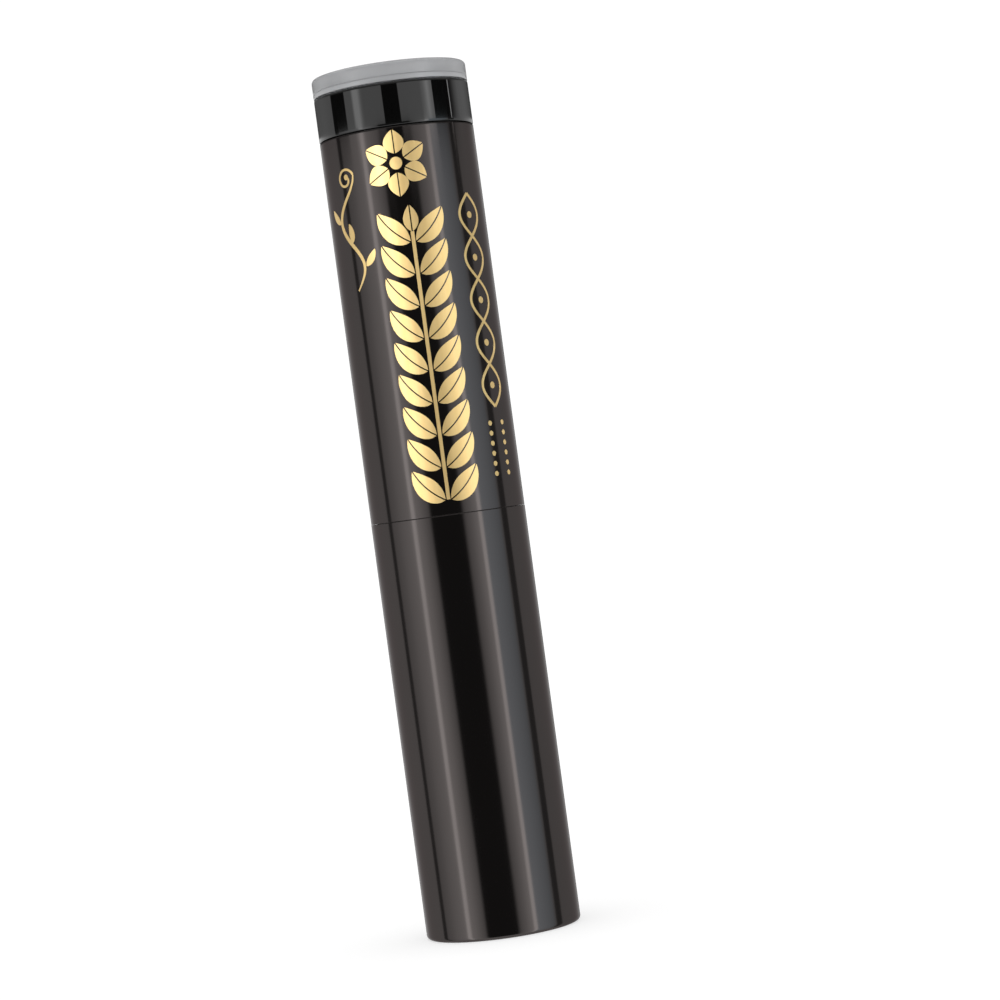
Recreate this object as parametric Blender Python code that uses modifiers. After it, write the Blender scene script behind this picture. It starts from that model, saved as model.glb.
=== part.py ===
"""Slim twist-up lipstick case, standing closed on its base: the cap is on and the lipstick is down.

Metres, +Z up, with the origin under the middle of the foot and every round piece on the Z axis.
The sleeve and its collar turn in the base. Two lugs on the carrier pass through straight slots in
the sleeve into a helical track in the cam tube, so one turn lifts the lipstick to just under the cap's
ceiling. The cap slides over the collar and stops above the rim of the base.
"""

import math

import bmesh
import bpy
from mathutils import Matrix

# Outside of the closed case
TUBE_RADIUS = 0.00775
TUBE_WALL = 0.00065
BASE_LENGTH = 0.0418
CAP_TUBE_LENGTH = 0.03825
BAND_HEIGHT = 0.0043
LENS_THICKNESS = 0.00195
EDGE_BREAK = 0.00015
FOOT_ROUND = 0.0004
LENS_ROUND = 0.0003

# Gaps between pieces, small because the nested walls are about half a millimetre thick
PARTING_GAP = 0.0001  # the cap's foot over the rim of the base
SEAT_GAP = 0.0001  # a piece over the one that it sits on
RUNNING_GAP = 0.0001  # round pieces that fit closely, on each side
SLIDING_GAP = 0.00015  # round pieces that slide freely, on each side
SLOT_PLAY = 0.00015  # a lug in its straight slot, on each side
TRACK_PLAY = 0.0002  # a lug in its helical track, on each side
END_PLAY = 0.0003  # the sleeve's lip under the cam tube

# Base
FLOOR_THICKNESS = 0.0012
FOOT_LAND = 0.00155
LABEL_RECESS_DEPTH = 0.0004
LABEL_THICKNESS = 0.00012
LABEL_MARGIN = 0.0002

# Collar, the friction fit for the cap
COLLAR_RISE = 0.0067
COLLAR_DEPTH = 0.0025
COLLAR_CHAMFER = 0.0004
DIMPLE_RADIUS = 0.00075
DIMPLE_DEPTH = 0.00035
DIMPLE_HEIGHT = 0.003
DIMPLE_AZIMUTH = math.radians(-53.4)

# Brake ring, which gives the twist its drag
RING_THICKNESS = 0.0006
RING_SPACE = 0.0011

# Cam tube and its helical track
CAM_WALL = 0.00058
CAM_HEAD = 0.007
CAM_FOOT = 0.0038
TURNS = 1.0

# Sleeve
SLEEVE_WALL = 0.00046
SLEEVE_GAP = 0.0002
SLEEVE_REACH = 0.0292
SLOT_END_SHARE = 0.499  # of the width, as the rounding of a slot's end; a half would fold it over
LIP_GRIP = 0.00026
LIP_HEIGHT = 0.0007
LIP_LEAD = 0.0004
MOUTH_SLANT = math.radians(27)
RISE_AZIMUTH = math.radians(17)

# Carrier
LUG_DIAMETER = 0.0013
LUG_FOOT = 0.0015
CARRIER_WALL = 0.00045
SKIRT_WALL = 0.0007
CUP_FLOOR = 0.001
CUP_DEPTH = 0.009

# Lipstick
BULLET_LENGTH = 0.0301
BULLET_DROP = 0.0022
BULLET_SLANT = math.radians(22.2)
BULLET_ROUND = 0.0005
BULLET_UNDERCUT = 0.00012
TIP_HEADROOM = 0.00055

# Shade plug in the end of the cap
PLUG_DEPTH = 0.0038
PLUG_WALL = 0.00065
WEB_THICKNESS = 0.0004
LENS_SEAT_DEPTH = 0.0004
LENS_SEAT_LAND = 0.00075

# Fineness of round shapes
SEGMENTS = 48
ROUND_STEPS = 3
RING_SIDES = 12
CUTTER_SIDES = 24
SLOT_END_STEPS = 5
TRACK_RINGS = 4
TRACK_STEPS_PER_TURN = 60
SHARP_ANGLE = math.radians(35)

# Radii, from the outside in
LABEL_RECESS_RADIUS = TUBE_RADIUS - FOOT_LAND
BORE_RADIUS = TUBE_RADIUS - TUBE_WALL
CAM_RADIUS = BORE_RADIUS - RUNNING_GAP
CAM_BORE = CAM_RADIUS - CAM_WALL
SLEEVE_RADIUS = CAM_BORE - SLEEVE_GAP
SLEEVE_BORE = SLEEVE_RADIUS - SLEEVE_WALL
CARRIER_RADIUS = SLEEVE_BORE - SLIDING_GAP
CUP_BORE = CARRIER_RADIUS - CARRIER_WALL
BULLET_RADIUS = CARRIER_RADIUS - BULLET_UNDERCUT
LIP_RADIUS = CAM_BORE + LIP_GRIP
LEDGE_RADIUS = LIP_RADIUS + SLIDING_GAP

# Widths of the ways that the lugs run in
SLOT_WIDTH = LUG_DIAMETER + 2 * SLOT_PLAY
TRACK_WIDTH = LUG_DIAMETER + 2 * TRACK_PLAY

# Heights in the cap, from its foot up
CAP_FOOT = BASE_LENGTH + PARTING_GAP
BAND_FOOT = CAP_FOOT + CAP_TUBE_LENGTH + SEAT_GAP
BAND_TOP = BAND_FOOT + BAND_HEIGHT
LENS_FOOT = BAND_TOP + SEAT_GAP
CAP_CEILING = BAND_TOP - LENS_SEAT_DEPTH - WEB_THICKNESS

# Heights in the mechanism, from the mouth of the base
MOUTH_HEIGHT = BASE_LENGTH + SLEEVE_REACH
TIP_HEIGHT = MOUTH_HEIGHT - BULLET_DROP
BULLET_FOOT = TIP_HEIGHT - BULLET_LENGTH
TRAVEL = CAP_CEILING - TIP_HEADROOM - TIP_HEIGHT
COLLAR_FOOT = BASE_LENGTH - COLLAR_DEPTH
CAM_TOP = COLLAR_FOOT - RING_SPACE
LUG_HEIGHT = CAM_TOP - CAM_HEAD - TRAVEL
CAM_LOWER_END = LUG_HEIGHT - CAM_FOOT
LEDGE_HEIGHT = CAM_LOWER_END - SEAT_GAP
LIP_TOP = LEDGE_HEIGHT - END_PLAY
SLEEVE_FOOT = LIP_TOP - LIP_HEIGHT - LIP_LEAD

# Colour, roughness and metallic value of each finish
FINISHES = {
    "gunmetal_metallised": ((0.060, 0.053, 0.048, 1), 0.16, 1.0),
    "black_gloss": ((0.008, 0.008, 0.008, 1), 0.06, 0.0),
    "frosted_acrylic": ((0.52, 0.53, 0.54, 1), 0.30, 0.0),
    "charcoal_satin": ((0.022, 0.021, 0.020, 1), 0.32, 0.0),
    "white_acetal": ((0.70, 0.69, 0.66, 1), 0.35, 0.0),
    "silicone_rubber": ((0.30, 0.30, 0.31, 1), 0.55, 0.0),
    "label_paper": ((0.62, 0.61, 0.59, 1), 0.60, 0.0),
    "pigmented_wax": ((0.030, 0.030, 0.031, 1), 0.55, 0.0),
}


def new_collection(name):
    collection = bpy.data.collections.new(name)
    bpy.context.scene.collection.children.link(collection)
    return collection


def finish(name):
    """The material of one finish, made the first time that it is asked for."""
    material = bpy.data.materials.get(name)
    if material is None:
        colour, roughness, metallic = FINISHES[name]
        material = bpy.data.materials.new(name)
        material.use_nodes = True
        shader = material.node_tree.nodes["Principled BSDF"]
        shader.inputs["Base Color"].default_value = colour
        shader.inputs["Roughness"].default_value = roughness
        shader.inputs["Metallic"].default_value = metallic
    return material


def apply_modifiers(part):
    """Puts the mesh that a part's modifiers make in place of its own."""
    depsgraph = bpy.context.evaluated_depsgraph_get()
    shaped = bpy.data.meshes.new_from_object(part.evaluated_get(depsgraph))
    part.modifiers.clear()
    part.data = shaped
    shaped.name = part.name


def turned(name, outline, collection, ring=False):
    """A solid of revolution. The outline runs down its outer side, and a ring's outline is a loop."""
    count = len(outline)
    edges = [(i, i + 1) for i in range(count - 1)]
    if ring:
        edges.append((count - 1, 0))
    mesh = bpy.data.meshes.new(name)
    mesh.from_pydata([(x, 0, z) for x, z in outline], edges, [])
    part = bpy.data.objects.new(name, mesh)
    collection.objects.link(part)
    screw = part.modifiers.new("turn", "SCREW")
    screw.axis = "Z"
    screw.angle = math.tau
    screw.steps = SEGMENTS
    screw.render_steps = SEGMENTS
    screw.use_merge_vertices = True
    screw.merge_threshold = 1e-6
    apply_modifiers(part)
    return part


def rounded(x, z, radius, start_angle):
    """Points of a convex quarter round inside the corner (x, z), turning clockwise from its start."""
    centre_x = x - radius * math.copysign(1, math.cos(start_angle - math.pi / 4))
    centre_z = z - radius * math.copysign(1, math.sin(start_angle - math.pi / 4))
    steps = [start_angle - math.pi / 2 * i / ROUND_STEPS for i in range(ROUND_STEPS + 1)]
    return [(centre_x + radius * math.cos(a), centre_z + radius * math.sin(a)) for a in steps]


def slant_top(part, above, slant):
    """Tilts everything above a height, so that the top is highest at the rise azimuth."""
    slope = math.tan(slant)
    for vertex in part.data.vertices:
        if vertex.co.z > above:
            towards = vertex.co.x * math.cos(RISE_AZIMUTH) + vertex.co.y * math.sin(RISE_AZIMUTH)
            vertex.co.z += slope * towards


def as_cutter(cutter):
    cutter.display_type = "WIRE"
    cutter.hide_render = True
    return cutter


def mesh_object(name, shape, collection):
    """An object holding a bmesh's shape."""
    mesh = bpy.data.meshes.new(name)
    shape.to_mesh(mesh)
    shape.free()
    thing = bpy.data.objects.new(name, mesh)
    collection.objects.link(thing)
    return thing


def combine(part, tool, operation):
    """Cuts a tool out of a part, or joins it on."""
    boolean = part.modifiers.new(tool.name, "BOOLEAN")
    boolean.operation = operation
    boolean.solver = "EXACT"
    boolean.object = tool
    apply_modifiers(part)


def cylinder_along_x(name, radius, length, collection):
    shape = bmesh.new()
    bmesh.ops.create_cone(
        shape, cap_ends=True, segments=CUTTER_SIDES, radius1=radius, radius2=radius, depth=length
    )
    bmesh.ops.rotate(shape, verts=shape.verts, matrix=Matrix.Rotation(math.pi / 2, 3, "Y"))
    return mesh_object(name, shape, collection)


def slot_cutter(name, length, width, height, collection):
    """A bar through the whole sleeve. Rounding just under half of its width makes its ends round."""
    shape = bmesh.new()
    bmesh.ops.create_cube(shape, size=1)
    bmesh.ops.scale(shape, vec=(length, width, height), verts=shape.verts)
    along_x = [e for e in shape.edges if abs(e.verts[0].co.x - e.verts[1].co.x) > length / 2]
    bmesh.ops.bevel(
        shape,
        geom=along_x,
        offset=width * SLOT_END_SHARE,
        segments=SLOT_END_STEPS,
        profile=0.5,
        affect="EDGES",
    )
    return as_cutter(mesh_object(name, shape, collection))


def track_cutter(name, start_azimuth, collection):
    """A round bar along the helix that a lug follows past the cam tube, plus a little at each end."""
    radius = (CAM_RADIUS + CAM_BORE) / 2
    spare = TRACK_WIDTH / 2 / (math.tau * radius)
    steps = round(TRACK_STEPS_PER_TURN * (TURNS + 2 * spare))
    curve = bpy.data.curves.new(name, "CURVE")
    curve.dimensions = "3D"
    curve.bevel_depth = TRACK_WIDTH / 2
    curve.bevel_resolution = TRACK_RINGS
    curve.use_fill_caps = True
    spline = curve.splines.new("POLY")
    spline.points.add(steps)
    for i, point in enumerate(spline.points):
        turn = -spare + (TURNS + 2 * spare) * i / steps
        azimuth = start_azimuth - math.tau * turn
        height = LUG_HEIGHT - CAM_LOWER_END + TRAVEL * turn / TURNS
        point.co = (radius * math.cos(azimuth), radius * math.sin(azimuth), height, 1)
    bar = bpy.data.objects.new(name, curve)
    collection.objects.link(bar)
    depsgraph = bpy.context.evaluated_depsgraph_get()
    shape = bmesh.new()
    shape.from_mesh(bpy.data.meshes.new_from_object(bar.evaluated_get(depsgraph)))
    bmesh.ops.remove_doubles(shape, verts=shape.verts, dist=1e-6)
    cutter = mesh_object(name + "_cut", shape, collection)
    cutter.matrix_world = bar.matrix_world
    bpy.data.objects.remove(bar)
    return as_cutter(cutter)


def place(part, body, height, finish_name):
    """Sets a finished part on its body at its height, with its material and shading."""
    part.parent = body
    part.location.z = height
    part.data.materials.clear()
    part.data.materials.append(finish(finish_name))
    part.data.shade_smooth()
    part.data.set_sharp_from_angle(angle=SHARP_ANGLE)


def base_shell(parts, body):
    foot = rounded(TUBE_RADIUS, 0, FOOT_ROUND, 0)
    outline = [
        (0, FLOOR_THICKNESS),
        (LEDGE_RADIUS, FLOOR_THICKNESS),
        (LEDGE_RADIUS, LEDGE_HEIGHT),
        (BORE_RADIUS, LEDGE_HEIGHT),
        (BORE_RADIUS, BASE_LENGTH),
        (TUBE_RADIUS - EDGE_BREAK, BASE_LENGTH),
        (TUBE_RADIUS, BASE_LENGTH - EDGE_BREAK),
        *foot,
        (LABEL_RECESS_RADIUS, 0),
        (LABEL_RECESS_RADIUS, LABEL_RECESS_DEPTH),
        (0, LABEL_RECESS_DEPTH),
    ]
    place(turned("base_shell", outline, parts), body, 0, "gunmetal_metallised")


def shade_label(parts, body):
    shape = bmesh.new()
    radius = LABEL_RECESS_RADIUS - LABEL_MARGIN
    bmesh.ops.create_cone(
        shape, cap_ends=True, segments=SEGMENTS, radius1=radius, radius2=radius, depth=LABEL_THICKNESS
    )
    height = LABEL_RECESS_DEPTH - SEAT_GAP - LABEL_THICKNESS / 2
    place(mesh_object("shade_label", shape, parts), body, height, "label_paper")


def cam_tube(parts, cutters, body):
    length = CAM_TOP - CAM_LOWER_END
    outline = [(CAM_RADIUS, length), (CAM_RADIUS, 0), (CAM_BORE, 0), (CAM_BORE, length)]
    tube = turned("cam_tube", outline, parts, ring=True)
    for name, azimuth in (("track_a", 0), ("track_b", math.pi)):
        combine(tube, track_cutter(name, azimuth, cutters), "DIFFERENCE")
    place(tube, body, CAM_LOWER_END, "white_acetal")


def brake_ring(parts, body):
    bpy.ops.mesh.primitive_torus_add(
        major_segments=SEGMENTS,
        minor_segments=RING_SIDES,
        major_radius=(SLEEVE_RADIUS + BORE_RADIUS) / 2,
        minor_radius=RING_THICKNESS / 2,
    )
    ring = bpy.context.object
    ring.name = "brake_ring"
    for collection in list(ring.users_collection):
        collection.objects.unlink(ring)
    parts.objects.link(ring)
    place(ring, body, CAM_TOP + RING_SPACE / 2, "silicone_rubber")


def inner_sleeve(parts, cutters, body):
    mouth = MOUTH_HEIGHT - SLEEVE_FOOT
    lip_top = LIP_TOP - SLEEVE_FOOT
    outline = [
        (SLEEVE_RADIUS, mouth),
        (SLEEVE_RADIUS, lip_top),
        (LIP_RADIUS, lip_top),
        (LIP_RADIUS, LIP_LEAD),
        (SLEEVE_RADIUS, 0),
        (SLEEVE_BORE, 0),
        (SLEEVE_BORE, mouth),
    ]
    sleeve = turned("inner_sleeve", outline, parts, ring=True)
    slant_top(sleeve, mouth / 2, MOUTH_SLANT)
    height = TRAVEL + SLOT_WIDTH + 2 * RUNNING_GAP
    cutter = slot_cutter("sleeve_slots", 2 * TUBE_RADIUS, SLOT_WIDTH, height, cutters)
    cutter.location.z = LUG_HEIGHT + TRAVEL / 2 - SLEEVE_FOOT
    combine(sleeve, cutter, "DIFFERENCE")
    place(sleeve, body, SLEEVE_FOOT, "charcoal_satin")


def collar(parts, cutters, body):
    length = COLLAR_DEPTH + COLLAR_RISE
    bore = SLEEVE_RADIUS + SEAT_GAP
    outline = [
        (CAM_RADIUS - COLLAR_CHAMFER, length),
        (CAM_RADIUS, length - COLLAR_CHAMFER),
        (CAM_RADIUS, EDGE_BREAK),
        (CAM_RADIUS - EDGE_BREAK, 0),
        (bore, 0),
        (bore, length),
    ]
    ring = turned("collar", outline, parts, ring=True)
    ball_radius = (DIMPLE_RADIUS**2 + DIMPLE_DEPTH**2) / (2 * DIMPLE_DEPTH)
    reach = CAM_RADIUS - DIMPLE_DEPTH + ball_radius
    for name, azimuth in (("dimple_a", DIMPLE_AZIMUTH), ("dimple_b", DIMPLE_AZIMUTH + math.pi)):
        shape = bmesh.new()
        bmesh.ops.create_uvsphere(
            shape, u_segments=CUTTER_SIDES, v_segments=CUTTER_SIDES // 2, radius=ball_radius
        )
        ball = as_cutter(mesh_object(name, shape, cutters))
        height = COLLAR_DEPTH + DIMPLE_HEIGHT
        ball.location = (reach * math.cos(azimuth), reach * math.sin(azimuth), height)
        combine(ring, ball, "DIFFERENCE")
    place(ring, body, COLLAR_FOOT, "charcoal_satin")


def carrier(parts, cutters, body):
    """The cup that holds the lipstick, on a long skirt that carries the lugs."""
    foot = LUG_HEIGHT - LUG_FOOT
    floor_top = BULLET_FOOT - SEAT_GAP - foot
    skirt_bore = CARRIER_RADIUS - SKIRT_WALL
    outline = [
        (0, floor_top),
        (CUP_BORE, floor_top),
        (CUP_BORE, floor_top + CUP_DEPTH),
        (CARRIER_RADIUS, floor_top + CUP_DEPTH),
        (CARRIER_RADIUS, 0),
        (skirt_bore, 0),
        (skirt_bore, floor_top - CUP_FLOOR),
        (0, floor_top - CUP_FLOOR),
    ]
    cup = turned("carrier", outline, parts)
    lug_tip = CAM_RADIUS - RUNNING_GAP
    lug_root = CARRIER_RADIUS - SKIRT_WALL / 2
    for name, side in (("lug_a", 1), ("lug_b", -1)):
        lug = as_cutter(cylinder_along_x(name, LUG_DIAMETER / 2, lug_tip - lug_root, cutters))
        lug.location = (side * (lug_tip + lug_root) / 2, 0, LUG_FOOT)
        combine(cup, lug, "UNION")
    place(cup, body, foot, "white_acetal")


def lipstick(parts, body):
    """A round bar with a slanted end, and a narrower foot that stands in the carrier's cup."""
    cup_fit = CUP_BORE - SLIDING_GAP
    middle = BULLET_LENGTH - BULLET_RADIUS * math.tan(BULLET_SLANT)
    outline = [
        (0, middle),
        *rounded(BULLET_RADIUS, middle, BULLET_ROUND, math.pi / 2),
        (BULLET_RADIUS, CUP_DEPTH),
        (cup_fit, CUP_DEPTH),
        (cup_fit, 0),
        (0, 0),
    ]
    bullet = turned("lipstick", outline, parts)
    slant_top(bullet, (middle + CUP_DEPTH) / 2, BULLET_SLANT)
    place(bullet, body, BULLET_FOOT, "pigmented_wax")


def cap_tube(parts, body):
    outline = [
        (TUBE_RADIUS, CAP_TUBE_LENGTH),
        (TUBE_RADIUS, EDGE_BREAK),
        (TUBE_RADIUS - EDGE_BREAK, 0),
        (BORE_RADIUS, 0),
        (BORE_RADIUS, CAP_TUBE_LENGTH),
    ]
    place(turned("cap_tube", outline, parts, ring=True), body, CAP_FOOT, "gunmetal_metallised")


def shade_plug(parts, body):
    """The black band and the spigot that closes the cap tube, with a seat on top for the lens."""
    spigot = BORE_RADIUS - RUNNING_GAP
    spigot_bore = spigot - PLUG_WALL
    seat = TUBE_RADIUS - LENS_SEAT_LAND
    seat_floor = BAND_HEIGHT - LENS_SEAT_DEPTH
    ceiling = seat_floor - WEB_THICKNESS
    outline = [
        (0, seat_floor),
        (seat, seat_floor),
        (seat, BAND_HEIGHT),
        (TUBE_RADIUS, BAND_HEIGHT),
        (TUBE_RADIUS, 0),
        (spigot, 0),
        (spigot, -PLUG_DEPTH),
        (spigot_bore, -PLUG_DEPTH),
        (spigot_bore, ceiling),
        (0, ceiling),
    ]
    place(turned("shade_plug", outline, parts), body, BAND_FOOT, "black_gloss")


def end_lens(parts, body):
    peg = TUBE_RADIUS - LENS_SEAT_LAND - SEAT_GAP
    peg_depth = LENS_SEAT_DEPTH
    outline = [
        (0, LENS_THICKNESS),
        *rounded(TUBE_RADIUS, LENS_THICKNESS, LENS_ROUND, math.pi / 2),
        (TUBE_RADIUS, 0),
        (peg, 0),
        (peg, -peg_depth),
        (0, -peg_depth),
    ]
    place(turned("end_lens", outline, parts), body, LENS_FOOT, "frosted_acrylic")


def body_empty(name, parent, collection):
    """An empty on the axis that everything in one moving body is parented to."""
    empty = bpy.data.objects.new(name, None)
    empty.empty_display_size = TUBE_RADIUS
    empty.parent = parent
    collection.objects.link(empty)
    return empty


def main():
    for thing in list(bpy.data.objects):
        bpy.data.objects.remove(thing, do_unlink=True)
    parts = new_collection("lipstick_case")
    cutters = new_collection("cutters")

    base_body = body_empty("base_body", None, parts)
    sleeve_body = body_empty("sleeve_body", base_body, parts)
    carriage_body = body_empty("carriage_body", sleeve_body, parts)
    cap_body = body_empty("cap_body", sleeve_body, parts)

    base_shell(parts, base_body)
    shade_label(parts, base_body)
    cam_tube(parts, cutters, base_body)
    brake_ring(parts, base_body)
    inner_sleeve(parts, cutters, sleeve_body)
    collar(parts, cutters, sleeve_body)
    carrier(parts, cutters, carriage_body)
    lipstick(parts, carriage_body)
    cap_tube(parts, cap_body)
    shade_plug(parts, cap_body)
    end_lens(parts, cap_body)


main()
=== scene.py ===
# Slim twist-up lipstick case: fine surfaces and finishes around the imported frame.
# Lengths are metres, written as millimetres times mm. Azimuth 0 faces -Y, the side with the gold
# print, and grows towards +X.
import math

import bmesh
import bpy
from mathutils import Matrix, Vector


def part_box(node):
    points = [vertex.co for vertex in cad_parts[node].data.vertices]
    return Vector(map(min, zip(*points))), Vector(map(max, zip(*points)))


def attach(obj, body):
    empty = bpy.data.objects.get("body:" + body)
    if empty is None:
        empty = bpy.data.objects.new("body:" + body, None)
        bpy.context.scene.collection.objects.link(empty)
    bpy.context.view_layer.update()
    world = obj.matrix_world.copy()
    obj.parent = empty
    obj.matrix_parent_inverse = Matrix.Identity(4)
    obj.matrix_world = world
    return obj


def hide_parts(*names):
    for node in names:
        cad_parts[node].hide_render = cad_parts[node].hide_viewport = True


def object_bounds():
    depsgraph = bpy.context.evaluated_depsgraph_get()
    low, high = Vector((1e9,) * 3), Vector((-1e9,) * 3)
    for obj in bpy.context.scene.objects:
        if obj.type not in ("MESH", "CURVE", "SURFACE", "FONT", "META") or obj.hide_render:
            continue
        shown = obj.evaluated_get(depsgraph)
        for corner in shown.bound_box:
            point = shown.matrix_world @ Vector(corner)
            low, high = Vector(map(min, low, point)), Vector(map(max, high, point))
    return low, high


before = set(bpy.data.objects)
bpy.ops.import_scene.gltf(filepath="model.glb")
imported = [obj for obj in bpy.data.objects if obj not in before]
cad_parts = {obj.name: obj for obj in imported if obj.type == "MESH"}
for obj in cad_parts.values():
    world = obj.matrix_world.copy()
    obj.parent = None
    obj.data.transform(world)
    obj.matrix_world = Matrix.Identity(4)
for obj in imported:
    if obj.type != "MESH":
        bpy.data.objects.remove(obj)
cadLow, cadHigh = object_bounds()
print("frame loaded:", ", ".join(sorted(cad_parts)))

mm = 0.001
quarter = math.pi / 2


# Colours, nodes and materials

def hexToLinear(code):  # sRGB hex to the linear RGBA that shaders take
    channels = [int(code[i:i + 2], 16) / 255 for i in (1, 3, 5)]
    return [c / 12.92 if c <= 0.04045 else ((c + 0.055) / 1.055) ** 2.4 for c in channels] + [1.0]


# Adds one shader node. Each socket, by its name or as inN for its number, is linked or set.
def addNode(tree, kind, settings=None, **links):
    node = tree.nodes.new("ShaderNode" + kind)
    for key, value in (settings or {}).items():
        setattr(node, key, value)
    for name, value in links.items():
        numbered = name.startswith("in") and name[2:].isdigit()
        socket = node.inputs[int(name[2:]) if numbered else name.replace("_", " ")]
        if isinstance(value, bpy.types.NodeSocket):
            tree.links.new(value, socket)
        else:
            socket.default_value = value
    return node


# A material whose main colour and uniform values sit on the shader's own sockets.
def startMaterial(name, code, **values):
    material = bpy.data.materials.new(name)
    material.use_nodes = True
    tree = material.node_tree
    shader = tree.nodes["Principled BSDF"]
    shader.inputs["Base Color"].default_value = hexToLinear(code)
    for socket, value in values.items():
        shader.inputs[socket.replace("_", " ")].default_value = value
    place = addNode(tree, "TexCoord").outputs["Object"]
    return material, tree, shader.inputs, place


def every(spacing):  # texture scale that repeats at this many millimetres
    return 1 / (spacing * mm)


def metallisedAbs():
    # ABS, moulded, vacuum-metallised with a smoked film and lacquered: a dark mirror, faintly warm,
    # that the lacquer's ripple and a haze from handling soften a little.
    material, tree, shader, place = startMaterial("metallisedAbs", "#474342", Metallic=1.0,
                                                  Specular_Tint=hexToLinear("#C8C5C5"))
    patches = addNode(tree, "TexNoise", Vector=place, Scale=every(20), Detail=2.0)
    tone = addNode(tree, "Mix", {"data_type": "RGBA"}, Factor=patches.outputs["Fac"],
                   in6=hexToLinear("#464241"), in7=hexToLinear("#494544"))
    tree.links.new(tone.outputs[2], shader["Base Color"])
    haze = addNode(tree, "TexNoise", Vector=place, Scale=every(6), Detail=4.0, Roughness=0.6)
    dulling = addNode(tree, "MapRange", Value=haze.outputs["Fac"], To_Min=0.08, To_Max=0.135)
    tree.links.new(dulling.outputs["Result"], shader["Roughness"])
    drawn = addNode(tree, "Mapping", Vector=place, Scale=(1.0, 1.0, 0.12))
    ripple = addNode(tree, "TexNoise", Vector=drawn.outputs["Vector"], Scale=every(5), Detail=1.0)
    bump = addNode(tree, "Bump", Height=ripple.outputs["Fac"], Distance=0.005 * mm, Strength=0.5)
    tree.links.new(bump.outputs["Normal"], shader["Normal"])
    return material


def rawAbs():
    # The same ABS where the film doesn't reach, inside the tubes: moulded black, dull from the core
    # pin, whose grain is under 0.1 mm and is drawn at 0.4 mm to show. On the flat rim ends, where
    # cap and base meet, it is painted shade that darkens the seam.
    material, tree, shader, place = startMaterial("rawAbs", "#1A1918", IOR=1.53)
    grain = addNode(tree, "TexNoise", Vector=place, Scale=every(0.4), Detail=3.0)
    dulling = addNode(tree, "MapRange", Value=grain.outputs["Fac"], To_Min=0.38, To_Max=0.55)
    tree.links.new(dulling.outputs["Result"], shader["Roughness"])
    bump = addNode(tree, "Bump", Height=grain.outputs["Fac"], Distance=0.004 * mm, Strength=0.4)
    tree.links.new(bump.outputs["Normal"], shader["Normal"])
    return material


def pianoBlackAbs():
    # High-gloss black ABS from a polished tool: sharp reflections with the faintest wave.
    material, tree, shader, place = startMaterial("pianoBlackAbs", "#050505", IOR=1.56)
    wave = addNode(tree, "TexNoise", Vector=place, Scale=every(4), Detail=1.0)
    polish = addNode(tree, "MapRange", Value=wave.outputs["Fac"], To_Min=0.02, To_Max=0.05)
    tree.links.new(polish.outputs["Result"], shader["Roughness"])
    bump = addNode(tree, "Bump", Height=wave.outputs["Fac"], Distance=0.002 * mm, Strength=0.3)
    tree.links.new(bump.outputs["Normal"], shader["Normal"])
    return material


def frostedAcrylic():
    # Clear acrylic, moulded with a satin frost: light goes in and scatters, so it reads as a soft
    # even grey.
    material, tree, shader, place = startMaterial("frostedAcrylic", "#B6B7B9", IOR=1.49,
                                                  Transmission_Weight=0.45)
    frost = addNode(tree, "TexNoise", Vector=place, Scale=every(3), Detail=2.0)
    satin = addNode(tree, "MapRange", Value=frost.outputs["Fac"], To_Min=0.14, To_Max=0.2)
    tree.links.new(satin.outputs["Result"], shader["Roughness"])
    return material


def satinAbs(name, dark, light, low, high):
    # Charcoal ABS from a satin tool: broad soft reflections over an even grain, which is under
    # 0.1 mm and is drawn at 0.25 mm to show.
    material, tree, shader, place = startMaterial(name, dark, IOR=1.55, Specular_IOR_Level=0.4)
    grain = addNode(tree, "TexNoise", Vector=place, Scale=every(0.25), Detail=4.0, Roughness=0.6)
    tone = addNode(tree, "Mix", {"data_type": "RGBA"}, Factor=grain.outputs["Fac"],
                   in6=hexToLinear(dark), in7=hexToLinear(light))
    tree.links.new(tone.outputs[2], shader["Base Color"])
    satin = addNode(tree, "MapRange", Value=grain.outputs["Fac"], To_Min=low, To_Max=high)
    tree.links.new(satin.outputs["Result"], shader["Roughness"])
    bump = addNode(tree, "Bump", Height=grain.outputs["Fac"], Distance=0.002 * mm, Strength=0.35)
    tree.links.new(bump.outputs["Normal"], shader["Normal"])
    return material


def matteWax():
    # Pigmented lipstick wax, cast in a metal mould: velvety, with a soft sheen at glancing angles,
    # the faint streaks of the pour, and pores, which are finer than the 0.18 mm they are drawn at.
    material, tree, shader, place = startMaterial("matteWax", "#232324", IOR=1.45,
                                                  Specular_IOR_Level=0.35, Sheen_Weight=0.06,
                                                  Sheen_Roughness=0.45)
    poured = addNode(tree, "Mapping", Vector=place, Scale=(1.0, 1.0, 0.25))
    streaks = addNode(tree, "TexNoise", Vector=poured.outputs["Vector"], Scale=every(1.6),
                      Detail=3.0)
    tone = addNode(tree, "Mix", {"data_type": "RGBA"}, Factor=streaks.outputs["Fac"],
                   in6=hexToLinear("#1F1F20"), in7=hexToLinear("#282829"))
    tree.links.new(tone.outputs[2], shader["Base Color"])
    pores = addNode(tree, "TexNoise", Vector=place, Scale=every(0.18), Detail=3.0)
    velvet = addNode(tree, "MapRange", Value=pores.outputs["Fac"], To_Min=0.27, To_Max=0.37)
    tree.links.new(velvet.outputs["Result"], shader["Roughness"])
    bump = addNode(tree, "Bump", Height=pores.outputs["Fac"], Distance=0.006 * mm, Strength=0.35)
    tree.links.new(bump.outputs["Normal"], shader["Normal"])
    return material


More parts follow.
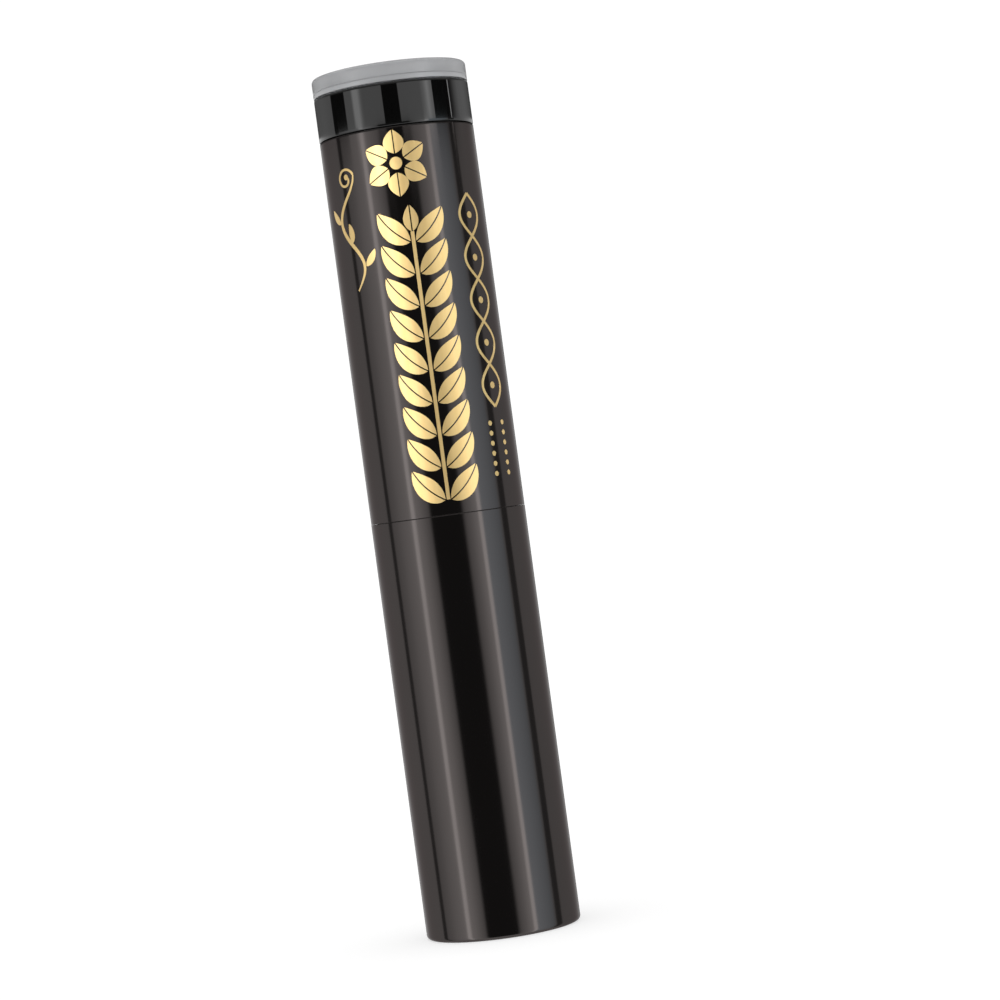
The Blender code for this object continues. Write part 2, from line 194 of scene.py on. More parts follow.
def acetal():
    # Natural acetal, moulded: waxy white, a little translucent, half gloss where the tool was
    # polished.
    material, tree, shader, place = startMaterial("acetal", "#E9E6E0", IOR=1.48,
                                                  Subsurface_Weight=0.15, Subsurface_Scale=0.6 * mm)
    mottle = addNode(tree, "TexNoise", Vector=place, Scale=every(2.5), Detail=3.0)
    tone = addNode(tree, "Mix", {"data_type": "RGBA"}, Factor=mottle.outputs["Fac"],
                   in6=hexToLinear("#E4E1DA"), in7=hexToLinear("#EEECE6"))
    tree.links.new(tone.outputs[2], shader["Base Color"])
    gloss = addNode(tree, "MapRange", Value=mottle.outputs["Fac"], To_Min=0.30, To_Max=0.42)
    tree.links.new(gloss.outputs["Result"], shader["Roughness"])
    bump = addNode(tree, "Bump", Height=mottle.outputs["Fac"], Distance=0.004 * mm, Strength=0.3)
    tree.links.new(bump.outputs["Normal"], shader["Normal"])
    return material


def siliconeRubber():
    # Moulded silicone under a film of grease: soft grey, half gloss in patches.
    material, tree, shader, place = startMaterial("siliconeRubber", "#939496", IOR=1.41)
    grease = addNode(tree, "TexNoise", Vector=place, Scale=every(1.5), Detail=2.0)
    gloss = addNode(tree, "MapRange", Value=grease.outputs["Fac"], To_Min=0.30, To_Max=0.65)
    tree.links.new(gloss.outputs["Result"], shader["Roughness"])
    return material


def labelPaper():
    # Coated sticker paper, left blank: near white, with the mottle of its fibres, drawn at 0.3 mm,
    # coarser than they are, to show.
    material, tree, shader, place = startMaterial("labelPaper", "#D6D4CF", IOR=1.5)
    fibres = addNode(tree, "TexNoise", Vector=place, Scale=every(0.3), Detail=5.0, Roughness=0.7)
    tone = addNode(tree, "Mix", {"data_type": "RGBA"}, Factor=fibres.outputs["Fac"],
                   in6=hexToLinear("#CFCDC8"), in7=hexToLinear("#DDDBD6"))
    tree.links.new(tone.outputs[2], shader["Base Color"])
    coating = addNode(tree, "MapRange", Value=fibres.outputs["Fac"], To_Min=0.5, To_Max=0.7)
    tree.links.new(coating.outputs["Result"], shader["Roughness"])
    bump = addNode(tree, "Bump", Height=fibres.outputs["Fac"], Distance=0.006 * mm, Strength=0.5)
    tree.links.new(bump.outputs["Normal"], shader["Normal"])
    return material


def goldFoil():
    # Aluminium foil with a yellow lacquer, hot-stamped: pale silky gold, with the drag of the die,
    # drawn at 0.5 mm, coarser than it is, to show.
    material, tree, shader, place = startMaterial("goldFoil", "#F1D191", Metallic=1.0)
    dragged = addNode(tree, "Mapping", Vector=place, Scale=(1.0, 1.0, 0.05))
    drag = addNode(tree, "TexNoise", Vector=dragged.outputs["Vector"], Scale=every(0.5), Detail=2.0)
    tone = addNode(tree, "Mix", {"data_type": "RGBA"}, Factor=drag.outputs["Fac"],
                   in6=hexToLinear("#EBC985"), in7=hexToLinear("#F7DA9C"))
    tree.links.new(tone.outputs[2], shader["Base Color"])
    silk = addNode(tree, "MapRange", Value=drag.outputs["Fac"], To_Min=0.36, To_Max=0.44)
    tree.links.new(silk.outputs["Result"], shader["Roughness"])
    return material


shellFilm, shellInsideAndSeamShade = metallisedAbs(), rawAbs()
bandBlack, endClear = pianoBlackAbs(), frostedAcrylic()
sleeveSatin = satinAbs("sleeveAbs", "#231F1E", "#2B2827", 0.16, 0.24)
collarSatin = satinAbs("collarAbs", "#201F1E", "#262423", 0.17, 0.25)
wax, acetalWhite, silicone = matteWax(), acetal(), siliconeRubber()
paper, foil = labelPaper(), goldFoil()
print("materials made:", len(bpy.data.materials))


# Mesh tools

def roundCorner(x, z, radius, start, steps=6):  # clockwise quarter round inside a convex corner
    cx = x - radius * math.copysign(1, math.cos(start - quarter / 2))
    cz = z - radius * math.copysign(1, math.sin(start - quarter / 2))
    angles = [start - quarter * i / steps for i in range(steps + 1)]
    return [(cx + radius * math.cos(a), cz + radius * math.sin(a)) for a in angles]


hold = 0.1 * mm  # how far the added points stand from the ends of a run
longRun = 4 * hold
weld = 0.0005 * mm  # points closer than this become one


def held(outline, ring):  # adds points on long runs, so that smooth shading leaves them straight
    points = []
    for start, end in zip(outline, outline[1:] + outline[:1] if ring else outline[1:]):
        points.append(start)
        run = Vector(end) - Vector(start)
        if run.length > longRun:
            step = run.normalized() * hold
            points += [Vector(start) + step, Vector(end) - step]
    return points if ring else points + outline[-1:]


def turn(outline, segments, ring=False):  # spins an x, z outline, a loop for a ring, about Z
    shape = bmesh.new()
    points = [shape.verts.new((x, 0, z)) for x, z in held(outline, ring)]
    edges = [shape.edges.new(pair) for pair in zip(points, points[1:])]
    if ring:
        edges.append(shape.edges.new((points[-1], points[0])))
    bmesh.ops.spin(shape, geom=points + edges, axis=(0, 0, 1), cent=(0, 0, 0), angle=math.tau,
                   steps=segments, use_merge=True)
    bmesh.ops.remove_doubles(shape, verts=shape.verts, dist=weld)
    bmesh.ops.recalc_face_normals(shape, faces=shape.faces)
    return shape


sharpFrom = math.radians(33)


def shadeRound(mesh):  # smooth shading that breaks only at real edges
    mesh.shade_smooth()
    mesh.set_sharp_from_angle(angle=sharpFrom)


def addObject(name, shape, *materials):  # an object from a bmesh, which is used up
    mesh = bpy.data.meshes.new(name)
    shape.to_mesh(mesh)
    shape.free()
    for material in materials:
        mesh.materials.append(material)
    thing = bpy.data.objects.new(name, mesh)
    bpy.context.collection.objects.link(thing)
    return thing


def makePiece(name, shape, body, materials, slotName, *nodes):
    piece = addObject(name, shape, *materials)
    shadeRound(piece.data)
    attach(piece, body)
    if nodes:
        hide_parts(*nodes)
    return piece


def cutWith(piece, shape):  # takes a shape out of a piece for good
    cutter = addObject("cutter", shape)
    boolean = piece.modifiers.new("cut", "BOOLEAN")
    boolean.operation, boolean.solver, boolean.object = "DIFFERENCE", "EXACT", cutter
    depsgraph = bpy.context.evaluated_depsgraph_get()
    shaped = bpy.data.meshes.new_from_object(piece.evaluated_get(depsgraph))
    piece.modifiers.clear()
    piece.data = shaped
    bpy.data.objects.remove(cutter)


def paintInside(shape, radius, above):  # second material within a radius and above a height
    for face in shape.faces:
        middle = face.calc_center_median()
        if middle.xy.length < radius and middle.z > above:
            face.material_index = 1


def slantTop(shape, above, slope, azimuth):  # tilts everything above a height towards an azimuth
    for v in shape.verts:
        if v.co.z > above:
            v.co.z += slope * (v.co.x * math.cos(azimuth) + v.co.y * math.sin(azimuth))


def outerRadius(node):
    low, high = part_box(node)
    return (high.x - low.x) / 2


# Base

base = {"segments": 192, "wall": 0.65 * mm, "footRound": 0.4 * mm, "rimRound": 0.05 * mm,
        "floor": 1.2 * mm, "ledgeHeight": 12.9 * mm, "ledgeRadius": 6.83 * mm,
        "recessRadius": 6.2 * mm, "recessDepth": 0.4 * mm}
label = {"edgeShare": 0.4, "edgeSteps": 3}


def makeBase():
    low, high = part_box("base_shell")
    radius, bore = outerRadius("base_shell"), outerRadius("base_shell") - base["wall"]
    outline = [
        (0, base["floor"]),
        (base["ledgeRadius"], base["floor"]),
        (base["ledgeRadius"], base["ledgeHeight"]),
        (bore, base["ledgeHeight"]),
        (bore, high.z),
        *roundCorner(radius, high.z, base["rimRound"], quarter),
        *roundCorner(radius, low.z, base["footRound"], 0),
        (base["recessRadius"], low.z),
        (base["recessRadius"], low.z + base["recessDepth"]),
        (0, low.z + base["recessDepth"]),
    ]
    shape = turn(outline, base["segments"])
    # The bore takes the raw ABS. So does the flat top rim, where it is painted shade in the seam
    # with the cap.
    paintInside(shape, radius - base["rimRound"], low.z + base["recessDepth"])
    makePiece("baseShell", shape, "base", [shellFilm, shellInsideAndSeamShade], "gunmetal_shell", "base_shell")


def makeLabel():
    low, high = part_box("shade_label")
    radius = outerRadius("shade_label")
    edge, steps = (high.z - low.z) * label["edgeShare"], label["edgeSteps"]
    outline = [
        (0, high.z),
        *roundCorner(radius, high.z, edge, quarter, steps),
        *roundCorner(radius, low.z, edge, 0, steps),
        (0, low.z),
    ]
    shape = turn(outline, base["segments"])
    makePiece("blankLabel", shape, "base", [paper], "label_paper", "shade_label")


makeBase()
makeLabel()
print("base made")


# Cap: tube, black band with its spigot, frosted end

# The seat lowers the cap's rim on to the base, to within a hairline.
cap = {"segments": 192, "wall": 0.65 * mm, "rimRound": 0.05 * mm, "printRelief": 0.015 * mm,
       "seat": 0.08 * mm}
band = {"edgeRound": 0.16 * mm, "spigotGap": 0.1 * mm, "spigotWall": 0.65 * mm,
        "spigotLead": 0.25 * mm, "seatLand": 0.75 * mm, "seatDepth": 0.4 * mm, "web": 0.4 * mm,
        "spigotDepth": 3.8 * mm}
lens = {"edgeRound": 0.35 * mm, "footRound": 0.06 * mm, "peg": 6.9 * mm, "pegDepth": 0.4 * mm,
        "grooveRise": 0.5 * mm, "groove": 0.06 * mm}


def makeCapTube():
    low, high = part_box("cap_tube")
    radius = outerRadius("cap_tube") - cap["printRelief"]
    bore = outerRadius("cap_tube") - cap["wall"]
    outline = [
        *roundCorner(radius, high.z, cap["rimRound"], quarter),
        *roundCorner(radius, low.z - cap["seat"], cap["rimRound"], 0),
        (bore, low.z - cap["seat"]),
        (bore, high.z),
    ]
    shape = turn(outline, cap["segments"], ring=True)
    # The bore takes the raw ABS. So do both flat rim ends, and on the lower one, which meets the
    # base, it is painted shade in the seam.
    paintInside(shape, radius - cap["rimRound"], 0)
    makePiece("capTube", shape, "cap", [shellFilm, shellInsideAndSeamShade], "gunmetal_shell", "cap_tube")


def makeBand():
    low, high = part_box("shade_plug")
    radius = outerRadius("shade_plug")
    foot = low.z + band["spigotDepth"]
    spigot = radius - cap["wall"] - band["spigotGap"]
    seatFloor = high.z - band["seatDepth"]
    seat = radius - band["seatLand"]
    outline = [
        (0, seatFloor),
        (seat, seatFloor),
        (seat, high.z),
        *roundCorner(radius, high.z, band["edgeRound"], quarter),
        *roundCorner(radius, foot, band["edgeRound"], 0),
        (spigot, foot),
        (spigot, low.z + band["spigotLead"]),
        (spigot - band["spigotLead"], low.z),
        (spigot - band["spigotWall"], low.z),
        (spigot - band["spigotWall"], seatFloor - band["web"]),
        (0, seatFloor - band["web"]),
    ]
    shape = turn(outline, cap["segments"])
    makePiece("shadeBand", shape, "cap", [bandBlack], "black_gloss_plastic", "shade_plug")


def makeLens():
    low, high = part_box("end_lens")
    radius = outerRadius("end_lens")
    foot = low.z + lens["pegDepth"]
    outline = [
        (0, high.z),
        *roundCorner(radius, high.z, lens["edgeRound"], quarter),
        (radius, foot + lens["grooveRise"] + lens["groove"]),
        (radius - lens["groove"], foot + lens["grooveRise"]),
        (radius, foot + lens["grooveRise"] - lens["groove"]),
        *roundCorner(radius, foot, lens["footRound"], 0),
        (lens["peg"], foot),
        (lens["peg"], low.z),
        (0, low.z),
    ]
    shape = turn(outline, cap["segments"])
    makePiece("endLens", shape, "cap", [endClear], "clear_acrylic", "end_lens")


makeCapTube()
makeBand()
makeLens()
print("cap made")


# Sleeve and collar

sleeve = {"segments": 160, "wall": 0.46 * mm, "rimRound": 0.18 * mm,
          "slant": math.tan(math.radians(27)), "rise": math.radians(17), "slantZone": 1 * mm,
          "lipOver": 0.46 * mm, "lead": 0.4 * mm, "lipHeight": 0.7 * mm, "rows": 4,
          "slotWidth": 1.6 * mm, "slotFoot": 4.5 * mm, "slotHeight": 16.2 * mm, "slotRound": 0.499,
          "slotSteps": 10, "boreSteps": 4}
collar = {"bore": 6.32 * mm, "edgeRound": 0.4 * mm, "footRound": 0.15 * mm,
          "grooveDrop": 0.62 * mm, "groove": 0.06 * mm, "grooveDepth": 0.036 * mm,
          "dimple": 0.75 * mm, "dimpleDepth": 0.35 * mm, "dimpleRise": 5.5 * mm,
          "dimpleAzimuth": math.radians(-53.4), "dimpleRings": 24, "edgeSteps": 5, "footSteps": 3}


def slotBar(length, width, height, middle):  # a bar along X with round upper and lower ends
    shape = bmesh.new()
    bmesh.ops.create_cube(shape, size=1)
    bmesh.ops.scale(shape, vec=(length, width, height), verts=shape.verts)
    alongX = [e for e in shape.edges if abs(e.verts[0].co.x - e.verts[1].co.x) > length / 2]
    bmesh.ops.bevel(shape, geom=alongX, offset=width * sleeve["slotRound"],
                    segments=sleeve["slotSteps"], profile=0.5, affect="EDGES")
    bmesh.ops.translate(shape, verts=shape.verts, vec=(0, 0, middle))
    return shape


def makeSleeve():
    low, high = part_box("inner_sleeve")
    lip = outerRadius("inner_sleeve")
    radius = lip - sleeve["lipOver"]
    bore = radius - sleeve["wall"]
    mouth = high.z - radius * sleeve["slant"]
    lipTop = low.z + sleeve["lead"] + sleeve["lipHeight"]
    edge = sleeve["rimRound"]
    rows = sleeve["rows"]
    outline = [
        *roundCorner(bore, mouth, edge, 2 * quarter, sleeve["boreSteps"]),
        *roundCorner(radius, mouth, edge, quarter),
        *[(radius, mouth + (lipTop - mouth) * i / rows) for i in range(1, rows)],
        (radius, lipTop),
        (lip, lipTop),
        (lip, low.z + sleeve["lead"]),
        (radius, low.z),
        (bore, low.z),
    ]
    shape = turn(outline, sleeve["segments"], ring=True)
    slantTop(shape, mouth - sleeve["slantZone"], sleeve["slant"], sleeve["rise"])
    piece = makePiece("innerSleeve", shape, "sleeve", [sleeveSatin], "charcoal_plastic",
                      "inner_sleeve")
    slotMiddle = low.z + sleeve["slotFoot"] + sleeve["slotHeight"] / 2
    cutWith(piece, slotBar(3 * lip, sleeve["slotWidth"], sleeve["slotHeight"], slotMiddle))
    shadeRound(piece.data)


def makeCollar():
    low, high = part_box("collar")
    radius = outerRadius("collar")
    groove, grooveHeight = collar["groove"], high.z - collar["grooveDrop"]
    outline = [
        *roundCorner(radius, high.z, collar["edgeRound"], quarter, collar["edgeSteps"]),
        (radius, grooveHeight + groove),
        (radius - collar["grooveDepth"], grooveHeight),
        (radius, grooveHeight - groove),
        *roundCorner(radius, low.z, collar["footRound"], 0, collar["footSteps"]),
        (collar["bore"], low.z),
        (collar["bore"], high.z),
    ]
    shape = turn(outline, sleeve["segments"], ring=True)
    piece = makePiece("collarRing", shape, "sleeve", [collarSatin], "charcoal_plastic", "collar")
    ball = (collar["dimple"] ** 2 + collar["dimpleDepth"] ** 2) / (2 * collar["dimpleDepth"])
    reach, height = radius - collar["dimpleDepth"] + ball, low.z + collar["dimpleRise"]
    rings = collar["dimpleRings"]
    for azimuth in (collar["dimpleAzimuth"], collar["dimpleAzimuth"] + math.pi):
        centre = (reach * math.cos(azimuth), reach * math.sin(azimuth), height)
        shape = bmesh.new()
        bmesh.ops.create_uvsphere(shape, u_segments=2 * rings, v_segments=rings, radius=ball)
        bmesh.ops.translate(shape, verts=shape.verts, vec=centre)
        cutWith(piece, shape)
    shadeRound(piece.data)


makeSleeve()
makeCollar()
print("sleeve and collar made")


# Lipstick

stick = {"segments": 160, "round": 0.55 * mm, "slant": math.tan(math.radians(22.2)),
         "rise": math.radians(17), "slantZone": 1 * mm, "cupRadius": 5.01 * mm,
         "cupDepth": 9.0 * mm, "facetSag": 0.12 * mm, "facetRings": 4, "rows": 5, "roundSteps": 8}


def makeLipstick():
    low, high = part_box("lipstick")
    radius, corner, slant = outerRadius("lipstick"), stick["round"], stick["slant"]
    middle = high.z - slant * (radius - corner) - corner * (math.hypot(1, slant) - 1)
    shoulder, rows = low.z + stick["cupDepth"], stick["rows"]
    shares = [i / stick["facetRings"] for i in range(stick["facetRings"])]
    facet = [(t * (radius - corner), middle - stick["facetSag"] * (1 - t * t)) for t in shares]
    outline = [
        *facet,
        *roundCorner(radius, middle, corner, quarter, stick["roundSteps"]),
        *[(radius, middle + (shoulder - middle) * i / rows) for i in range(1, rows)],
        (radius, shoulder),
        (stick["cupRadius"], shoulder),
        (stick["cupRadius"], low.z),
        (0, low.z),
    ]
    shape = turn(outline, stick["segments"])
    slantTop(shape, middle - stick["slantZone"], slant, stick["rise"])
    makePiece("lipstickBullet", shape, "carriage", [wax], "lipstick_wax", "lipstick")


makeLipstick()
print("lipstick made")

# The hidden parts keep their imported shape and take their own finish.
hidden = {"cam_tube": acetalWhite, "carrier": acetalWhite, "brake_ring": silicone}
for node, material in hidden.items():
    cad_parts[node].data.materials.clear()
    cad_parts[node].data.materials.append(material)


# Gold print on the cap. Each ornament is drawn flat, as bands in (s, z), where s is the arc length
# from azimuth 0.

stamp = {"thickness": 0.03 * mm, "cell": 0.32 * mm, "weld": 0.002 * mm, "sliver": 0.0005 * mm,
         "rootShare": 0.85, "fullness": 0.75}
laurel = {"middle": 0.4 * mm, "foot": 43.3 * mm, "pairs": 9, "pitch": 3.18 * mm,
          "length": 4.35 * mm, "width": 2.15 * mm, "lean": math.radians(60),
          "bend": math.radians(-34), "stem": 0.36 * mm, "stemRows": 8, "vein": 0.13 * mm,
          "crown": 2.6 * mm, "crownWidth": 1.5 * mm, "crownLift": 1 * mm}
blossom = {"middle": -0.3 * mm, "height": 76.55 * mm, "petals": 6, "root": 0.95 * mm,
           "length": 2.35 * mm, "width": 2.05 * mm, "eye": 0.62 * mm, "vein": 0.12 * mm}
rope = {"middle": 7.1 * mm, "low": 51.8 * mm, "high": 73.0 * mm, "swing": 1.4 * mm, "waves": 5,
        "rowsPerWave": 24, "width": 0.3 * mm, "bead": 0.34 * mm}
dots = {"columns": (6.0 * mm, 7.9 * mm), "low": 45.2 * mm, "high": 50.2 * mm, "count": 6,
        "radius": 0.25 * mm}
tendril = {"middle": -6.3 * mm, "low": 64.8 * mm, "high": 76.2 * mm, "swing": 1.25 * mm,
           "waves": 1.25, "rows": 60, "width": 0.42 * mm, "tipShare": 0.4, "leaf": 2.0 * mm,
           "leafWidth": 0.75 * mm, "leaves": ((0.2, 1), (0.42, 1), (0.6, -1)),
           "lean": math.radians(50), "bend": math.radians(-30), "curl": 1.15 * mm,
           "curlStart": math.radians(20), "curlTurn": math.radians(400), "curlRows": 40,
           "curlEnd": 0.25, "curlWidth": 0.24 * mm, "bead": 0.28 * mm}


def ribbon(line, leftWidths, rightWidths):  # a band along a line, as pairs of points at its sides
    stations = []
    for i, (point, left, right) in enumerate(zip(line, leftWidths, rightWidths)):
        before, after = line[max(i - 1, 0)], line[min(i + 1, len(line) - 1)]
        along = Vector((after[0] - before[0], after[1] - before[1])).normalized()
        side = Vector((-along.y, along.x))
        stations.append((Vector(point) + side * left, Vector(point) - side * right))
    return stations


def evenRibbon(line, width):
    return ribbon(line, [width / 2] * len(line), [width / 2] * len(line))


def disc(s, z, radius, steps=12):
    heights = [-math.cos(math.pi * i / steps) for i in range(steps + 1)]
    halves = [radius * math.sqrt(max(0, 1 - h * h)) for h in heights]
    return ribbon([(s, z + radius * h) for h in heights], halves, halves)


# A leaf from its root. A vein leaves a bare line along its middle.
def leaf(s, z, length, width, lean, bend, vein=0, steps=16):
    line, halves = [(s, z)], []
    for i in range(steps):
        angle = lean + bend * (i + 0.5) / steps
        s += math.sin(angle) * length / steps
        z += math.cos(angle) * length / steps
        line.append((s, z))
    for i in range(steps + 1):
        swell = max(0, math.sin(math.pi * (i / steps) ** stamp["rootShare"])) ** stamp["fullness"]
        halves.append(max(width / 2 * swell, vein / 2))
    if not vein:
        return [ribbon(line, halves, halves)]
    gap = [-vein / 2] * len(line)
    return [ribbon(line, halves, gap), ribbon(line, gap, halves)]


def stampPiece(name, bands, radius):  # wraps flat bands round the cap as thin solid foil
    shape = bmesh.new()
    for stations in bands:
        across = max(1, math.ceil(max((a - b).length for a, b in stations) / stamp["cell"]))
        rows = []
        for a, b in stations:
            row = []
            for s, z in (a.lerp(b, k / across) for k in range(across + 1)):
                x, y = radius * math.sin(s / radius), -radius * math.cos(s / radius)
                row.append(shape.verts.new((x, y, z)))
            rows.append(row)
        for lower, upper in zip(rows, rows[1:]):
            for k in range(across):
                shape.faces.new((lower[k], lower[k + 1], upper[k + 1], upper[k]))
    bmesh.ops.remove_doubles(shape, verts=shape.verts, dist=stamp["weld"])
    bmesh.ops.dissolve_degenerate(shape, edges=shape.edges, dist=stamp["sliver"])
    shape.normal_update()
    inward = [f for f in shape.faces if f.normal.xy.dot(f.calc_center_median().xy) < 0]
    bmesh.ops.reverse_faces(shape, faces=inward)
    bmesh.ops.solidify(shape, geom=shape.faces[:], thickness=stamp["thickness"])
    makePiece(name, shape, "cap", [foil], "gold_foil")


def laurelBands():
    middle, pitch, foot, vein = laurel["middle"], laurel["pitch"], laurel["foot"], laurel["vein"]
    top = foot + pitch * (laurel["pairs"] - 1)
    crownRoot, rows = top + laurel["crownLift"], laurel["stemRows"]
    stem = [(middle, foot + (crownRoot - foot) * i / rows) for i in range(rows + 1)]
    bands = [evenRibbon(stem, laurel["stem"])]
    for i in range(laurel["pairs"]):
        for side in (-1, 1):
            root = middle + side * (laurel["stem"] / 2 + vein)
            bands += leaf(root, foot + pitch * i, laurel["length"], laurel["width"],
                          side * laurel["lean"], side * laurel["bend"], vein)
    return bands + leaf(middle, crownRoot, laurel["crown"], laurel["crownWidth"], 0, 0, vein)


def blossomBands():
    bands = [disc(blossom["middle"], blossom["height"], blossom["eye"])]
    for i in range(blossom["petals"]):
        angle = math.tau * i / blossom["petals"]
        root = (blossom["middle"] + blossom["root"] * math.sin(angle),
                blossom["height"] + blossom["root"] * math.cos(angle))
        bands += leaf(*root, blossom["length"], blossom["width"], angle, 0, blossom["vein"])
    return bands


def ropeBands():
    steps, span = rope["rowsPerWave"] * rope["waves"], rope["high"] - rope["low"]
    turns = math.pi * rope["waves"]
    bands = []
    for side in (-1, 1):
        line = [(rope["middle"] + side * rope["swing"] * math.sin(turns * i / steps),
                 rope["low"] + span * i / steps) for i in range(steps + 1)]
        bands.append(evenRibbon(line, rope["width"]))
    beads = [rope["low"] + span * (i + 0.5) / rope["waves"] for i in range(rope["waves"])]
    return bands + [disc(rope["middle"], height, rope["bead"]) for height in beads]


def dotBands():
    step = (dots["high"] - dots["low"]) / (dots["count"] - 1)
    heights = [dots["low"] + step * i for i in range(dots["count"])]
    return [disc(s, height, dots["radius"]) for s in dots["columns"] for height in heights]


def tendrilBands():
    steps, span = tendril["rows"], tendril["high"] - tendril["low"]
    turns = math.tau * tendril["waves"]
    line = [(tendril["middle"] + tendril["swing"] * math.sin(turns * i / steps),
             tendril["low"] + span * i / steps) for i in range(steps + 1)]
    swell, tip = [math.sin(math.pi * i / steps) for i in range(steps + 1)], tendril["tipShare"]
    halves = [tendril["width"] / 2 * (tip + (1 - tip) * s) for s in swell]
    bands = [ribbon(line, halves, halves)]
    for share, side in tendril["leaves"]:
        before, (s, z) = line[round(share * steps) - 1], line[round(share * steps)]
        along = math.atan2(s - before[0], z - before[1])
        bands += leaf(s + side * tendril["width"] / 2, z, tendril["leaf"], tendril["leafWidth"],
                      along + side * tendril["lean"], side * tendril["bend"])
    size, start, rows = tendril["curl"], tendril["curlStart"], tendril["curlRows"]
    s, z = line[-1][0] - size * math.cos(start), line[-1][1] - size * math.sin(start)
    curl = []
    for i in range(rows + 1):  # the tip winds in to a bead
        angle = start + tendril["curlTurn"] * i / rows
        reach = size * (1 - (1 - tendril["curlEnd"]) * i / rows)
        curl.append((s + reach * math.cos(angle), z + reach * math.sin(angle)))
    return bands + [evenRibbon(curl, tendril["curlWidth"]), disc(*curl[-1], tendril["bead"])]


prints = {"goldLaurel": laurelBands(), "goldBlossom": blossomBands(), "goldRope": ropeBands(),
          "goldDots": dotBands(), "goldTendril": tendrilBands()}
for name, bands in prints.items():
    stampPiece(name, bands, outerRadius("cap_tube"))
print("gold print made")


# Floor, light and camera, in metres

studio = {"floorRadius": 6.0, "floorSegments": 96, "floorDrop": 0.02 * mm, "floorGlow": 0.55,
          "dome": 1.05, "wallRadius": 0.9, "wallFoot": -0.7, "upperFoot": 191.6 * mm,
          "highFoot": 225 * mm, "wallTop": 0.8, "column": 3}
key = {"azimuth": -28, "elevation": 34, "distance": 0.7, "size": 0.36, "watts": 5.0}

# What a glossy surface mirrors from each direction: azimuth in degrees, strength, and a tint where
# it isn't white. The lower tier stands behind the tubes' reflections, the upper one, with harder
# edges, behind the black band's, and the high one, even and dim, behind those of the flat end.
cool = "#E9F6FF"
lowerTier = [
    (-180, 0.05), (-168, 0.05), (-166, 0.85), (-140, 0.95), (-100, 0.9), (-99.4, 0.2),
    (-92.6, 0.2), (-92, 0.8), (-81, 1.0), (-74, 1.2), (-60, 1.5), (-56, 1.7), (-54, 3.2),
    (-50, 3.2), (-47, 1.7), (-41, 1.5), (-35, 1.2), (-27, 0.8), (-23, 0.08), (21, 0.08), (26, 0.8),
    (35, 1.2), (41, 1.55), (45, 1.7), (47, 3.2), (51, 3.2), (53, 1.7, cool), (60, 1.6, cool),
    (67, 1.45, cool), (74, 1.3, cool), (81, 1.1, cool), (86, 0.7), (87, 0.2), (98, 0.2),
    (99, 0.75), (140, 0.85), (166, 0.8), (168, 0.05), (180, 0.05),
]
upperTier = [
    (-180, 0.05), (-160, 0.12), (-140, 0.31), (-120, 0.6), (-101, 0.8), (-100.4, 0.02),
    (-73.4, 0.02), (-72.8, 1.0), (-61, 1.1), (-57, 2.7), (-50.5, 2.7), (-45, 1.3), (-42, 1.05),
    (-13, 1.05), (-12.4, 0.02), (10.8, 0.02), (11.4, 1.05), (44, 1.1), (50, 1.7), (56, 2.9),
    (61, 1.9), (64, 1.7), (64.6, 0.02), (94, 0.02), (94.4, 3.0), (95.6, 3.0), (96, 0.05),
    (101, 0.2), (108, 0.6), (116, 0.8), (130, 0.6), (145, 0.3), (160, 0.1), (180, 0.05),
]
highTier = [(-180, 0.3), (180, 0.3)]


def makeFloor():
    # Matt white paper, over-lit enough to meet the white surround without a line.
    material = startMaterial("whitePaper", "#BCBCBC", IOR=1.45, Roughness=0.9,
                             Specular_IOR_Level=0.0, Emission_Color=hexToLinear("#FFFFFF"),
                             Emission_Strength=studio["floorGlow"])[0]
    shape = bmesh.new()
    bmesh.ops.create_circle(shape, cap_ends=True, segments=studio["floorSegments"],
                            radius=studio["floorRadius"])
    floor = addObject("floor", shape, material)
    floor.location.z = cadLow.z - studio["floorDrop"]
    floor.visible_glossy = False
    floor.visible_shadow = False


def glowOf(strength, tint="#FFFFFF"):
    return [c * strength for c in hexToLinear(tint)]


def columnsOf(tier):  # the tier's stations, with more between those that stand far apart
    stations = [(azimuth, glowOf(*look)) for azimuth, *look in tier]
    columns = []
    for (start, a), (end, b) in zip(stations, stations[1:]):
        count = max(1, math.ceil((end - start) / studio["column"]))
        for i in range(count):
            t = i / count
            columns.append((start + (end - start) * t, [p + (q - p) * t for p, q in zip(a, b)]))
    return columns + stations[-1:]


def makeLightWall(name, tier, foot, top):  # light and black flags that only reflections see
    material = bpy.data.materials.new(name)
    material.use_nodes = True
    tree = material.node_tree
    tree.nodes.clear()
    glow = addNode(tree, "Attribute", {"attribute_name": "glow"})
    light = addNode(tree, "Emission", Color=glow.outputs["Color"])
    addNode(tree, "OutputMaterial", Surface=light.outputs["Emission"])
    shape = bmesh.new()
    layer = shape.verts.layers.float_color.new("glow")
    rows = []
    for azimuth, colour in columnsOf(tier):
        x = studio["wallRadius"] * math.sin(math.radians(azimuth))
        y = studio["wallRadius"] * -math.cos(math.radians(azimuth))
        pair = [shape.verts.new((x, y, z)) for z in (foot, top)]
        for vertex in pair:
            vertex[layer] = colour
        rows.append(pair)
    for a, b in zip(rows, rows[1:]):
        shape.faces.new((a[0], b[0], b[1], a[1]))
    wall = addObject(name, shape, material)
    wall.visible_camera = False
    wall.visible_diffuse = False
    wall.visible_transmission = False
    wall.visible_shadow = False


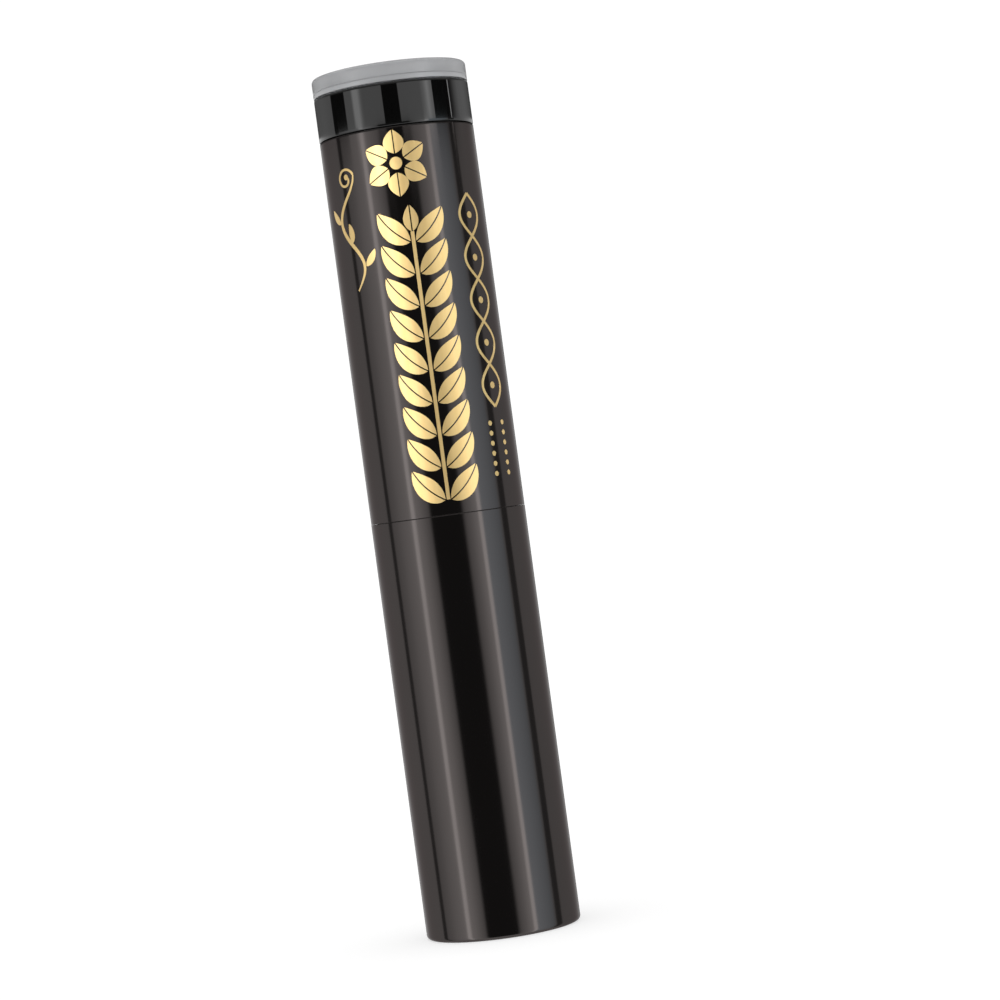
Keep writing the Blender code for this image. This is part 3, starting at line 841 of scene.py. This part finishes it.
def makeKey():  # a softbox that brings up the foil, and lights nothing else
    data = bpy.data.lights.new("key", "AREA")
    data.shape, data.size, data.energy, data.use_shadow = "DISK", key["size"], key["watts"], False
    light = bpy.data.objects.new("key", data)
    bpy.context.collection.objects.link(light)
    azimuth, elevation = math.radians(key["azimuth"]), math.radians(key["elevation"])
    across = math.cos(elevation)
    towards = Vector((math.sin(azimuth) * across, -math.cos(azimuth) * across, math.sin(elevation)))
    light.location = (cadLow + cadHigh) / 2 + towards * key["distance"]
    light.rotation_euler = towards.to_track_quat("Z", "Y").to_euler()
    light.visible_camera = False
    lit = bpy.data.collections.new("litByKey")
    for name in prints:
        lit.objects.link(bpy.data.objects[name])
    light.light_linking.receiver_collection = lit


def makeWorld():
    world = bpy.data.worlds.new("whiteSurround")
    bpy.context.scene.world = world
    world.use_nodes = True
    background = world.node_tree.nodes["Background"]
    background.inputs["Color"].default_value = hexToLinear("#FFFFFF")
    background.inputs["Strength"].default_value = studio["dome"]


shot = {"distance": 310 * mm, "aimRight": 5.36 * mm, "aimUp": 42.57 * mm, "lens": 111.4,
        "sensor": 36, "roll": math.radians(7.72), "near": 0.01, "far": 50}


def makeCamera():
    data = bpy.data.cameras.new("camera")
    data.lens, data.sensor_width = shot["lens"], shot["sensor"]
    data.clip_start, data.clip_end = shot["near"], shot["far"]
    camera = bpy.data.objects.new("camera", data)
    bpy.context.collection.objects.link(camera)
    right = Vector((math.cos(shot["roll"]), 0, -math.sin(shot["roll"])))
    up = Vector((math.sin(shot["roll"]), 0, math.cos(shot["roll"])))
    turned = Matrix((right, up, Vector((0, -1, 0)))).transposed().to_4x4()
    place = Matrix.Translation((shot["aimRight"], -shot["distance"], shot["aimUp"]))
    camera.matrix_world = place @ turned
    bpy.context.scene.camera = camera


makeFloor()
makeLightWall("lowerLight", lowerTier, studio["wallFoot"], studio["upperFoot"])
makeLightWall("upperLight", upperTier, studio["upperFoot"], studio["highFoot"])
makeLightWall("highLight", highTier, studio["highFoot"], studio["wallTop"])
makeKey()
makeWorld()
makeCamera()
view = bpy.context.scene.view_settings
view.view_transform, view.look = "Standard", "None"
print("studio made")
